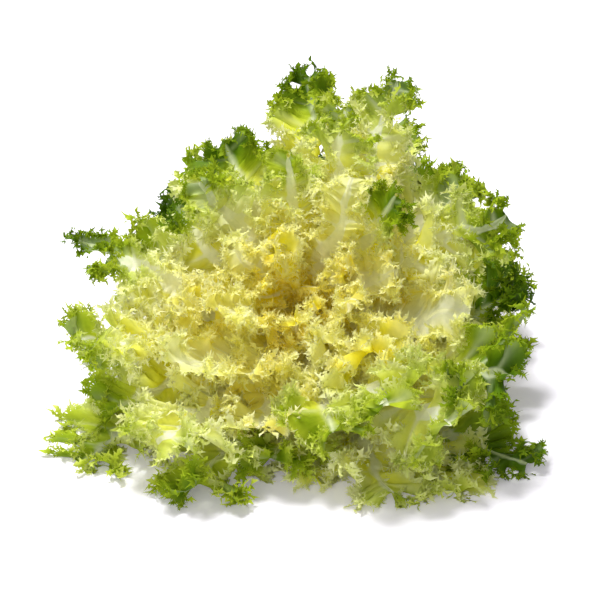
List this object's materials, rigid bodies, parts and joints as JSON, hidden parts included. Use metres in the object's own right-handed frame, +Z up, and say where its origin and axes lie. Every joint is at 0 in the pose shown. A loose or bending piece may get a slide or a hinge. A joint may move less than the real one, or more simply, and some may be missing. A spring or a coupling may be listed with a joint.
{
  "type": "curly endive head",
  "caption": "Loose head of curly endive, cut at the stem and lying tilted: a short stump, a domed core and a rosette of frilled leaves, green outside and yellow at the heart.",
  "frame": {"origin": "on the table, under the middle of the head's bounding box", "axes": "+Z up from the table; the heart faces forward and up, towards -Y and +Z; the cut stump points back and down; +X to the right, seen from the front"},
  "size_m": [0.2806, 0.3102, 0.1628],
  "materials": {
    "core": "pale, moist, fibrous cut stem",
    "outer_leaf": "thin leaf, half gloss, deep green",
    "middle_leaf": "thin leaf, half gloss, yellow green",
    "inner_leaf": "thin tender leaf, half gloss, pale yellow"
  },
  "bodies": {
    "root": {"inner_leaf_36": "inner_leaf", "inner_leaf_37": "inner_leaf", "inner_leaf_38": "inner_leaf", "inner_leaf_39": "inner_leaf", "inner_leaf_40": "inner_leaf", "inner_leaf_41": "inner_leaf", "inner_leaf_42": "inner_leaf", "inner_leaf_43": "inner_leaf", "inner_leaf_44": "inner_leaf", "inner_leaf_45": "inner_leaf", "inner_leaf_46": "inner_leaf", "inner_leaf_47": "inner_leaf", "inner_leaf_48": "inner_leaf", "inner_leaf_49": "inner_leaf", "inner_leaf_50": "inner_leaf", "inner_leaf_51": "inner_leaf", "inner_leaf_52": "inner_leaf", "inner_leaf_53": "inner_leaf", "inner_leaf_54": "inner_leaf", "inner_leaf_55": "inner_leaf", "inner_leaf_56": "inner_leaf", "inner_leaf_57": "inner_leaf", "middle_leaf_16": "middle_leaf", "middle_leaf_17": "middle_leaf", "middle_leaf_18": "middle_leaf", "middle_leaf_19": "middle_leaf", "middle_leaf_20": "middle_leaf", "middle_leaf_21": "middle_leaf", "middle_leaf_22": "middle_leaf", "middle_leaf_23": "middle_leaf", "middle_leaf_24": "middle_leaf", "middle_leaf_25": "middle_leaf", "middle_leaf_26": "middle_leaf", "middle_leaf_27": "middle_leaf", "middle_leaf_28": "middle_leaf", "middle_leaf_29": "middle_leaf", "middle_leaf_30": "middle_leaf", "middle_leaf_31": "middle_leaf", "middle_leaf_32": "middle_leaf", "middle_leaf_33": "middle_leaf", "middle_leaf_34": "middle_leaf", "middle_leaf_35": "middle_leaf", "outer_leaf_01": "outer_leaf", "outer_leaf_02": "outer_leaf", "outer_leaf_03": "outer_leaf", "outer_leaf_04": "outer_leaf", "outer_leaf_05": "outer_leaf", "outer_leaf_06": "outer_leaf", "outer_leaf_07": "outer_leaf", "outer_leaf_08": "outer_leaf", "outer_leaf_09": "outer_leaf", "outer_leaf_10": "outer_leaf", "outer_leaf_11": "outer_leaf", "outer_leaf_12": "outer_leaf", "outer_leaf_13": "outer_leaf", "outer_leaf_14": "outer_leaf", "outer_leaf_15": "outer_leaf", "stem_core": "core"}
  },
  "joints": []
}
